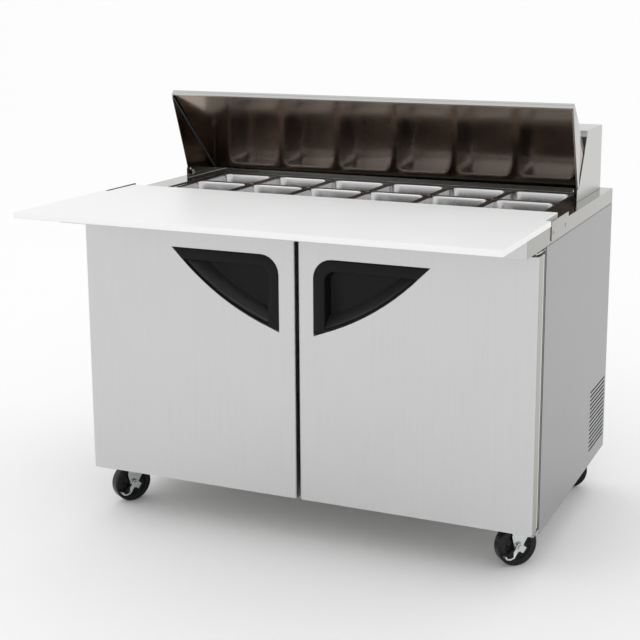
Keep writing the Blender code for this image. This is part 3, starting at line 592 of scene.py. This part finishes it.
def handle_rings(side, sign):
    """The moulded handle's outline at any inset, as a function, with a fixed count of points."""
    low, high, _ = span("door_%s_handle" % side)
    near = min(abs(low.x), abs(high.x))
    far, top, bottom = max(abs(low.x), abs(high.x)) + 0.003, high.z, low.z
    start, end = Vector((near - 0.004, bottom)), Vector((far, top + 0.003))
    normal = Vector((start.y - end.y, end.x - start.x)).normalized()
    bow, corner = 0.026, 0.050

    def slope_point(t, inset):
        return start.lerp(end, t) - normal * (4 * t * (1 - t) * bow - inset)

    def crossing(test, inset, low_t, high_t):
        """The place along the slope where a test changes its answer."""
        for _ in range(40):
            middle = (low_t + high_t) / 2
            if test(slope_point(middle, inset)):
                low_t = middle
            else:
                high_t = middle
        return low_t

    def ring(y, square, slope, tip=0.003):
        left, ceiling = near + square, top - square
        radius = max(0.006, corner - square * 0.8)
        points = []
        for step in range(13):
            angle = math.pi / 2 + math.pi / 2 * step / 12
            points.append((left + radius + radius * math.cos(angle),
                           ceiling - radius + radius * math.sin(angle)))
        first = crossing(lambda p: p.x < left + tip * 0.6, slope, 0.0, 0.9)
        last = crossing(lambda p: p.y < ceiling - tip * 0.6, slope, 0.3, 1.0)
        points.append((left, slope_point(first, slope).y + tip))
        for step in range(33):
            point = slope_point(first + (last - first) * step / 32, slope)
            points.append((point.x, point.y))
        points.append((slope_point(last, slope).x - tip, ceiling))
        return [(sign * x, y, z) for x, z in points]

    return ring


def handle(side, sign):
    """A moulded pull: a flat band on the square sides, and a pocket with a ramp along its bowed side."""
    ring = handle_rings(side, sign)
    low, high, _ = span("door_%s_handle" % side)
    face, back = low.y, high.y
    band = 0.030
    floor = back - 0.0035
    rings = [ring(back, 0.0002, 0.0002), ring(face + 0.0014, 0.0002, 0.0002),
             ring(face + 0.0005, 0.0005, 0.0005), ring(face, 0.0014, 0.0012)]
    for share, depth in ((0.0, 0.0), (0.35, 0.0004), (0.75, 0.0016), (1.0, 0.0040)):
        rings.append(ring(face + depth, band - 0.006 + 0.006 * share, 0.0030 + 0.0022 * share))
    for depth, square, slope in ((0.0065, 0.0003, 0.0062), (0.0080, 0.0005, 0.0085), (0.0110, 0.0008, 0.0120),
                                 (0.0200, 0.0012, 0.0205), (0.0285, 0.0018, 0.0285)):
        rings.append(ring(face + depth, band + square, slope))
    rings.append(ring(floor - 0.0010, band + 0.0032, 0.0325))
    rings.append(ring(floor, band + 0.0060, 0.0370))
    thing = add("door_%s_handle_moulding" % side, loft("handle", rings), HANDLE_BLACK, 40)
    # Painted highlight: the ramp's upward faces take the lighter black.
    repaint(thing, HANDLE_PAINTED_HIGHLIGHT, lambda centre, normal: centre.y > face + 0.003 and normal.z > 0.25)
    return stand_for(thing, "door_%s_handle" % side)


def inner_dish(side):
    """A pressed bead round the door's inner panel."""
    low, high, middle = span("door_%s_core" % side)
    half_x, half_z = (high.x - low.x) / 2 - 0.062, (high.z - low.z) / 2 - 0.062
    loops = []
    for inset, rise in ((0.0, -0.0010), (0.0012, 0.0012), (0.0045, 0.0018), (0.0078, 0.0012),
                        (0.0090, -0.0010)):
        ring = rounded_rectangle(half_x - inset, half_z - inset, 0.030 - inset, 0.0, steps=6)
        loops.append([(middle.x + x, high.y + rise, middle.z + z) for x, z, _ in ring])
    bead = add("door_%s_inner_bead" % side, loft("bead", loops, cyclic=True), INNER_PLASTIC, 60)
    attach(bead, side + "_door")


def doors():
    for side, sign in (("left", -1), ("right", 1)):
        skin = carry("door_%s_skin" % side, DOOR_STEEL, 0.0004, 2, 40)
        # Painted shade: the skin's side, top and bottom faces take the darker edge steel.
        repaint(skin, DOOR_EDGE_PAINTED_SHADE, lambda centre, normal: abs(normal.x) > 0.93 or abs(normal.z) > 0.93)
        carry("door_%s_core" % side, INNER_PLASTIC, 0.0012, 2, 40)
        carry("door_%s_gasket" % side, GASKET, 0.0016, 3)
        handle(side, sign)
        inner_dish(side)
        hinge(side)


def lower_hinges():
    """Plates with two bolts under the cabinet's front corners, round the lower pins."""
    base_low, base_high, _ = span("base_plate")
    top, under = base_low.z - 0.0006, base_low.z - 0.0030
    front, rear = base_low.y + 0.0010, base_low.y + 0.0810
    plates, bolts = bmesh.new(), []
    for sign in (-1, 1):
        inner, outer = sorted((sign * (base_high.x - 0.0507), sign * (HALF_W - 0.0006)))
        block(plates, (inner, front, under), (outer, rear, top))
        for inset in (0.0387, 0.0127):
            spot = (sign * (base_high.x - inset), rear - 0.0110, under)
            bolts.append((hex_head(0.0046, 0.0030), facing((0, 0, -1), spot)))
    attach(ease(add("lower_hinge_plates", finished(plates, "plates"), ZINC), 0.0005), "cabinet")
    attach(merge("lower_hinge_bolts", bolts, SCREW), "cabinet")


def hinge(side):
    """The top hinge arm, with a bush on its pin and two bolts."""
    node = "hinge_%s_top" % side
    carry(node, ZINC, 0.0007)
    _, high, middle = span(node)
    pin = Vector(JOINTS[side + "_door_hinge"]["pos_m"])
    top = high.z
    bush = turned("bush", [(0.0, 0.0), (0.0072, 0.0), (0.0072, 0.0016), (0.0060, 0.0024), (0.0, 0.0024)], 28)
    heads = [(hex_head(0.0042, 0.0026), Matrix.Translation((middle.x + dx, high.y - 0.0157, top)))
             for dx in (-0.008, 0.010)]
    attach(merge(node + "_bolts", heads, SCREW), "cabinet")
    placed = [(bush, Matrix.Translation((pin.x, pin.y, top)))]
    attach(merge(node + "_bush", placed, HUB), "cabinet")


# ---------------------------------------------------------------- casters

def caster(number):
    """Plate, swivel race, fork with raked legs, wheel with a hub, axle nuts and, in front, a brake."""
    turn = JOINTS["caster_%d_swivel_turn" % number]
    roll = JOINTS["caster_%d_roll" % number]
    pin = Vector(turn["pos_m"])
    axle = Vector(roll["pos_m"])
    trail = (pin - axle).xy.length
    heading = math.atan2((pin - axle).y, (pin - axle).x)
    here = Matrix.Translation((pin.x, pin.y, 0)) @ Matrix.Rotation(heading, 4, "Z")
    wheel_low, wheel_high, _ = span("caster_%d_wheel" % number)
    radius = (wheel_high.z - wheel_low.z) / 2
    axle_z = axle.z
    half = 0.015
    swivel, roller = "caster_%d_swivel" % number, "caster_%d_roller" % number

    profile = []
    tread, shoulder = radius - 0.0002, 0.0050
    for step in range(9):
        angle = math.pi / 2 * (1 - step / 8)
        profile.append((tread - shoulder * (1 - math.sin(angle)), half - shoulder * (1 - math.cos(angle))))
    mirrored = [(r, -z) for r, z in profile]
    hub = 0.0345
    tyre = [(hub, half - 0.0028), (hub + 0.0015, half - 0.0006)] + list(reversed(profile)) + mirrored
    tyre += [(hub + 0.0015, -half + 0.0006), (hub, -half + 0.0028)]
    sideways = facing((0, 1, 0), (-trail, 0, axle_z))
    stand_for(merge("caster_%d_tyre" % number, [(turned("tyre", tyre, 72), here @ sideways)], TYRE, 45),
              "caster_%d_wheel" % number)
    disc = [(0.0062, half + 0.0006), (0.0120, half + 0.0006), (0.0138, half - 0.0006),
            (0.0145, half - 0.0045), (0.0300, half - 0.0052), (0.0325, half - 0.0030),
            (hub - 0.0001, half - 0.0028)]
    disc += [(r, -z) for r, z in reversed(disc)]
    parts = [(turned("hub", disc, 60), here @ sideways)]
    ribs = bmesh.new()
    for k in range(10):
        made = block(ribs, (0.0135, -0.0009, -half + 0.0022), (0.0320, 0.0009, half - 0.0022))
        bmesh.ops.rotate(ribs, verts=made, matrix=Matrix.Rotation(2 * math.pi * k / 10, 3, "Z"))
    parts.append((finished(ribs, "ribs"), here @ sideways))
    attach(merge("caster_%d_hub" % number, parts, HUB), roller)

    top = span("caster_%d_fork" % number)[1].z
    race = [(0.0068, top), (0.0255, top), (0.0292, top - 0.0012), (0.0298, top - 0.0050),
            (0.0270, top - 0.0066), (0.0068, top - 0.0066)]
    bits = [(turned("race", race, 56), here)]
    nuts = []
    for sign in (-1, 1):
        inner, sheet = half + 0.0022, 0.0022
        legs = []
        y0, y1 = sign * inner, sign * (inner + sheet)
        for z, rear, front in ((top - 0.0050, -0.0430, 0.0275), (top - 0.0200, -0.0455, 0.0205),
                               (axle_z + 0.0260, -trail - 0.0190, -trail + 0.0265),
                               (axle_z + 0.0040, -trail - 0.0135, -trail + 0.0135),
                               (axle_z, -trail - 0.0117, -trail + 0.0117)):
            legs.append([(rear, y0, z), (front, y0, z), (front, y1, z), (rear, y1, z)])
        for k in range(1, 7):
            angle = math.pi / 2 * k / 6
            reach = 0.0115 * math.cos(angle)
            z = axle_z - 0.0115 * math.sin(angle)
            legs.append([(-trail - reach - 0.0002, y0, z), (-trail + reach, y0, z),
                         (-trail + reach, y1, z), (-trail - reach - 0.0002, y1, z)])
        bits.append((loft("leg", legs), here))
        outside = facing((0, sign, 0), (-trail, sign * (inner + sheet), axle_z))
        tall = 0.0025 if sign < 0 and number <= 2 else 0.0054  # thin behind a brake pedal
        nuts.append((hex_head(0.0085, tall), here @ outside))
    axle_bar = bmesh.new()
    rod(axle_bar, (-trail, -half - 0.003, axle_z), (-trail, half + 0.003, axle_z), 0.0049, 20)
    bits.append((finished(axle_bar, "axle"), here))
    fork = merge("caster_%d_fork_pressing" % number, bits, ZINC, 40)
    stand_for(ease(fork, 0.0005, 2, 50), "caster_%d_fork" % number)
    attach(ease(merge("caster_%d_axle_nuts" % number, nuts, SCREW), 0.0003), swivel)

    plate_low, plate_high, _ = span("caster_%d_plate" % number)
    high = plate_high.z
    plate = loft("plate", [
        [(x, y, z) for x, y, _ in rounded_rectangle(0.036 - inset, 0.045 - inset, 0.008 - inset, 0)]
        for z, inset in ((high, 0.0), (high - 0.0036, 0.0), (high - 0.0040, 0.0005))])
    fixed = [(plate, Matrix.Translation((pin.x, pin.y, 0)))]
    cup = [(0.0, high - 0.0036), (0.0285, high - 0.0036), (0.0275, high - 0.0058), (0.0066, high - 0.0062),
           (0.0058, plate_low.z), (0.0, plate_low.z)]
    fixed.append((turned("cup", cup, 48), Matrix.Translation((pin.x, pin.y, 0))))
    for dx in (-0.027, 0.027):
        for dy in (-0.036, 0.036):
            under = (pin.x + dx, pin.y + dy, high - 0.0040)
            fixed.append((hex_head(0.0048, 0.0030), facing((0, 0, -1), under)))
    stand_for(merge("caster_%d_top_plate" % number, fixed, ZINC), "caster_%d_plate" % number)

    if number <= 2:
        brake(number, here, trail, axle_z, half)


def brake(number, here, trail, axle_z, half):
    """A bent bar from the axle to a foot pad, seen as a bright hook beside the wheel."""
    y = -(half + 0.0098)
    loops = []
    route = [(0.006, 0.004), (-0.006, -0.004), (-0.014, -0.0135), (-0.022, -0.0205), (-0.032, -0.0235),
             (-0.041, -0.0215), (-0.0450, -0.0145)]
    for index, (dx, dz) in enumerate(route):
        ahead = Vector(route[min(index + 1, len(route) - 1)]) - Vector(route[max(index - 1, 0)])
        across = Vector((-ahead.y, ahead.x)).normalized() * (0.0056 if index < 3 else 0.0022)
        wide = 0.0016 if index < 3 else 0.0062
        ring = []
        for sx, sy in ((-1, -1), (1, -1), (1, 1), (-1, 1)):
            ring.append((-trail + dx + sx * across.x, y + sy * wide + (0.0 if index < 3 else -0.0045),
                         axle_z + dz + sx * across.y))
        loops.append(ring)
    bar = loft("bar", loops)
    eye = turned("eye", [(0.0058, -0.0015), (0.0098, -0.0015), (0.0098, 0.0015), (0.0058, 0.0015)], 32)
    tab = bmesh.new()
    corners = block(tab, (0.004, -0.0014, -0.0085), (0.0165, 0.0014, 0.0085))
    bmesh.ops.rotate(tab, verts=corners, matrix=Matrix.Rotation(math.radians(38), 3, "Y"))
    nut = here @ facing((0, -1, 0), (-trail, y - 0.0012, axle_z))
    attach(ease(merge("caster_%d_brake_nut" % number, [(hex_head(0.0078, 0.0050), nut)], SCREW), 0.0006),
           "caster_%d_pedal" % number)
    bits = [(bar, here), (eye, here @ facing((0, 1, 0), (-trail, y, axle_z))),
            (finished(tab, "tab"), here @ Matrix.Translation((-trail, y, axle_z)))]
    pedal = merge("caster_%d_brake_pedal" % number, bits, ZINC, 50)
    stand_for(ease(pedal, 0.0006, 2, 40), "caster_%d_brake" % number)


# ---------------------------------------------------------------- inside

def shelf(side):
    """A coated wire shelf in its slab's place."""
    low, high, _ = span("shelf_" + side)
    thick, thin = 0.0032, 0.0018
    z = high.z - thick
    bm = bmesh.new()
    corners = [(low.x + thick, low.y + thick), (high.x - thick, low.y + thick),
               (high.x - thick, high.y - thick), (low.x + thick, high.y - thick)]
    for (x0, y0), (x1, y1) in zip(corners, corners[1:] + corners[:1]):
        rod(bm, (x0, y0, z - 0.001), (x1, y1, z - 0.001), thick, 12)
    for x, y in corners:
        ball = bmesh.ops.create_uvsphere(bm, u_segments=12, v_segments=8, radius=thick)
        bmesh.ops.translate(bm, vec=(x, y, z - 0.001), verts=ball["verts"])
    for share in (0.33, 0.67):
        y = low.y + (high.y - low.y) * share
        rod(bm, (low.x + thick, y, low.z + 0.0034), (high.x - thick, y, low.z + 0.0034), 0.0026, 10)
    count = 19
    for k in range(1, count):
        x = low.x + (high.x - low.x) * k / count
        rod(bm, (x, low.y + thick, high.z - thin), (x, high.y - thick, high.z - thin), thin, 8)
    stand_for(add("shelf_%s_wires" % side, finished(bm, "wires"), WIRE, 40), "shelf_" + side)


def fan(node, joint, axis, blades, pitch, reach):
    """A hub with pitched, swept blades."""
    centre = Vector(JOINTS[joint]["pos_m"])
    hub = turned("hub", [(0.0047, -0.0060), (0.0150, -0.0060), (0.0160, -0.0050), (0.0160, 0.0045),
                         (0.0135, 0.0060), (0.0047, 0.0060)], 40)
    bits = [(hub, facing(axis, centre))]
    for k in range(blades):
        loops = []
        for step in range(7):
            share = step / 6
            r = 0.0145 + (reach - 0.0145) * share
            half_angle = math.radians(24 - 5 * share)
            lean = math.radians(12) * share
            ring = []
            for side, lift in ((-1, -0.0006), (1, -0.0006), (1, 0.0006), (-1, 0.0006)):
                angle = side * half_angle + lean
                rise = side * pitch * (1 - 0.35 * share)
                ring.append((r * math.cos(angle), r * math.sin(angle), rise + lift))
            loops.append(ring)
        spin = Matrix.Rotation(2 * math.pi * k / blades, 4, "Z")
        bits.append((loft("blade", loops), facing(axis, centre) @ spin))
    stand_for(merge(node + "_rotor", bits, FAN, 50), node)


def evaporator():
    """Finned coil in a tray at the back of the compartment, with a ring guard round the fan."""
    low, high, _ = span("evaporator_coil")
    spot = Vector(JOINTS["evaporator_fan_spin"]["pos_m"])
    depth_low = high.y - 0.070
    bm = bmesh.new()
    count = 96
    for k in range(count):
        x = low.x + 0.006 + (high.x - low.x - 0.012) * k / (count - 1)
        block(bm, (x - 0.0005, depth_low + 0.006, low.z + 0.006),
              (x + 0.0005, high.y - 0.004, high.z - 0.006))
    stand_for(add("evaporator_fins", finished(bm, "fins"), FINS), "evaporator_coil")
    bm = bmesh.new()
    for z0, z1 in ((low.z, low.z + 0.004), (high.z - 0.004, high.z)):
        block(bm, (low.x, depth_low, z0), (high.x, high.y, z1))
    for x0, x1 in ((low.x, low.x + 0.004), (high.x - 0.004, high.x)):
        block(bm, (x0, depth_low, low.z + 0.0041), (x1, high.y, high.z - 0.0041))
    rod(bm, (spot.x, depth_low + 0.004, spot.z), (spot.x, spot.y - 0.004, spot.z), 0.0038, 16)
    tray = add("evaporator_tray", finished(bm, "tray"), TRIM_STEEL)
    attach(ease(tray, 0.0006), "cabinet")
    bm = bmesh.new()
    for row in range(3):
        for column in range(2):
            y, z = depth_low + 0.020 + 0.028 * column, low.z + 0.030 + 0.045 * row
            rod(bm, (low.x + 0.002, y, z), (high.x - 0.002, y, z), 0.0045, 14)
    attach(add("evaporator_pipes", finished(bm, "pipes"), COPPER), "cabinet")
    ring_y = depth_low - 0.0012
    loops = []
    for step in range(10):
        angle = 2 * math.pi * step / 10
        loops.append((0.0665 + 0.0028 * math.cos(angle), 0.0028 * math.sin(angle)))
    ring = turned("ring", loops, 72)
    placed = [(ring, facing((0, -1, 0), (spot.x, ring_y - 0.002, spot.z)))]
    attach(merge("evaporator_fan_ring", placed, WIRE, 60), "cabinet")


def condensing_unit():
    """Compressor can with its seam and feet, condenser fins and pipes, and the fan motor."""
    low, high, _ = span("compressor")
    floor = low.z
    centre = Vector(((low.x + high.x) / 2, (low.y + high.y) / 2, 0))
    radius, top = 0.0778, high.z
    seam = floor + (top - floor) * 0.50
    profile = [(0.0, floor + 0.0105), (radius * 0.86, floor + 0.0105), (radius * 0.97, floor + 0.022),
               (radius * 0.985, seam - 0.004), (radius, seam - 0.003), (radius, seam + 0.003),
               (radius * 0.985, seam + 0.004), (radius * 0.975, top - 0.040)]
    for step in range(1, 9):
        angle = math.pi / 2 * step / 8
        profile.append((radius * (0.30 + 0.675 * math.cos(angle)), top - 0.040 + 0.040 * math.sin(angle)))
    profile.append((0.0, top))
    bits = [(turned("can", profile, 64), Matrix.Translation(centre))]
    feet = bmesh.new()
    block(feet, (low.x, low.y, floor + 0.0060), (high.x, low.y + 0.034, floor + 0.0095))
    block(feet, (low.x, high.y - 0.034, floor + 0.0060), (high.x, high.y, floor + 0.0095))
    block(feet, (centre.x - 0.05, low.y + 0.01, floor + 0.0070),
          (centre.x + 0.05, high.y - 0.01, floor + 0.0107))
    bits.append((finished(feet, "feet"), Matrix.Identity(4)))
    stand_for(merge("compressor_can", bits, PAINT, 40), "compressor")
    profile = [(0.0, 0.0), (0.0095, 0.0), (0.0095, 0.0030), (0.0070, 0.0060), (0.0, 0.0060)]
    grommet = turned("grommet", profile, 24)
    spots = [(x, y) for x in (low.x + 0.014, high.x - 0.014) for y in (low.y + 0.014, high.y - 0.014)]
    mounts = [(grommet, Matrix.Translation((x, y, floor))) for x, y in spots]
    attach(merge("compressor_grommets", mounts, GASKET), "cabinet")

    low, high, _ = span("condenser_coil")
    bm = bmesh.new()
    count = 70
    for k in range(count):
        y = low.y + 0.004 + (high.y - low.y - 0.008) * k / (count - 1)
        block(bm, (low.x + 0.003, y - 0.0005, low.z + 0.004), (high.x - 0.003, y + 0.0005, high.z - 0.004))
    for z0, z1 in ((low.z, low.z + 0.003), (high.z - 0.003, high.z)):
        block(bm, (low.x, low.y, z0), (high.x, high.y, z1))
    stand_for(add("condenser_fins", finished(bm, "fins"), FINS), "condenser_coil")
    bm = bmesh.new()
    for row in range(6):
        for x in (low.x + 0.012, high.x - 0.012):
            z = low.z + 0.022 + 0.031 * row
            rod(bm, (x, low.y, z), (x, high.y, z), 0.0042, 12)
    attach(add("condenser_pipes", finished(bm, "pipes"), COPPER), "cabinet")
    carry("condenser_fan_motor", PAINT, 0.0012)


def shelf_standards():
    """Slotted strips in the compartment's front corners that the shelf clips hang on."""
    liner_high = span("inner_liner")[1]
    bm = bmesh.new()
    floor, ceiling = 0.20, 0.74
    for sign in (-1, 1):
        x = sign * (liner_high.x - 0.0016)
        for y in (-0.118, 0.208):
            for dy in (-0.0070, 0.0048):
                block(bm, (x - sign * 0.0028 if sign > 0 else x, y + dy, floor),
                      (x if sign > 0 else x + 0.0028, y + dy + 0.0022, ceiling))
            steps = 14
            for k in range(steps):
                z = floor + (ceiling - floor) * k / (steps - 1)
                block(bm, (x - 0.0028 if sign > 0 else x, y - 0.0049, z - 0.006),
                      (x if sign > 0 else x + 0.0028, y + 0.0049, z + 0.006))
    attach(add("shelf_standards", finished(bm, "standards"), TRIM_STEEL), "cabinet")
    clips = bmesh.new()
    under = span("shelf_right")[0].z - 0.0003
    for sign in (-1, 1):
        for y in (-0.118, 0.208):
            inner, outer = sorted((sign * (liner_high.x - 0.0150), sign * (liner_high.x - 0.0046)))
            block(clips, (inner, y - 0.0050, under - 0.0018), (outer, y + 0.0050, under))
            inner, outer = sorted((sign * (liner_high.x - 0.0058), sign * (liner_high.x - 0.0046)))
            block(clips, (inner, y - 0.0050, under - 0.0140), (outer, y + 0.0050, under - 0.0018))
    attach(ease(add("shelf_clips", finished(clips, "clips"), ZINC), 0.0003), "cabinet")


# ---------------------------------------------------------------- stage

def studio():
    """Pale floor, even pale surroundings, one large soft light and the camera."""
    bm = bmesh.new()
    bmesh.ops.create_circle(bm, cap_ends=True, segments=96, radius=400.0)
    floor = bpy.data.objects.new("floor", finished(bm, "floor"))
    paper = look("floor_paper", (0.95, 0.95, 0.95), 0.9, level=0.1, grain=(90, 90, 90), tint=0.004, bump=0.02)
    floor.data.materials.append(paper)
    visual.objects.link(floor)

    world = bpy.data.worlds.new("studio")
    scene.world = world
    world.use_nodes = True
    tree = world.node_tree
    background = tree.nodes["Background"]
    where = tree.nodes.new("ShaderNodeTexCoord")
    split = tree.nodes.new("ShaderNodeSeparateXYZ")
    ramp = tree.nodes.new("ShaderNodeMapRange")
    for key, value in (("From Min", -0.2), ("From Max", 1.0), ("To Min", 0.99), ("To Max", 1.05)):
        ramp.inputs[key].default_value = value
    tree.links.new(where.outputs["Generated"], split.inputs["Vector"])
    tree.links.new(split.outputs["Z"], ramp.inputs["Value"])
    tree.links.new(ramp.outputs["Result"], background.inputs["Color"])
    background.inputs["Strength"].default_value = 1.0

    def lamp(name, at, aim, size, power):
        light = bpy.data.lights.new(name, "AREA")
        light.shape = "DISK"
        light.size = size
        light.energy = power
        thing = bpy.data.objects.new(name, light)
        thing.location = at
        thing.rotation_euler = (Vector(aim) - Vector(at)).to_track_quat("-Z", "Y").to_euler()
        visual.objects.link(thing)

    lamp("key", (-2.2, -3.4, 3.6), (0, 0, 0.6), 2.4, 12)
    scene.view_settings.view_transform = "Standard"

    camera = bpy.data.cameras.new("camera")
    camera.lens = 74.3
    camera.shift_x, camera.shift_y = -0.062, -0.100
    eye = bpy.data.objects.new("camera", camera)
    eye.location = (1.377, -3.097, 1.407)
    eye.rotation_euler = (math.radians(90 - 11.47), 0, math.radians(22.86))
    visual.objects.link(eye)
    scene.camera = eye


cabinet()
screws()
pans()
lid()
doors()
lower_hinges()
for number in range(1, 5):
    caster(number)
for side in ("left", "right"):
    shelf(side)
shelf_standards()
fan("condenser_fan_blade", "condenser_fan_spin", (1, 0, 0), 5, 0.0085, 0.073)
fan("evaporator_fan_blade", "evaporator_fan_spin", (0, -1, 0), 5, 0.0075, 0.059)
evaporator()
condensing_unit()
studio()
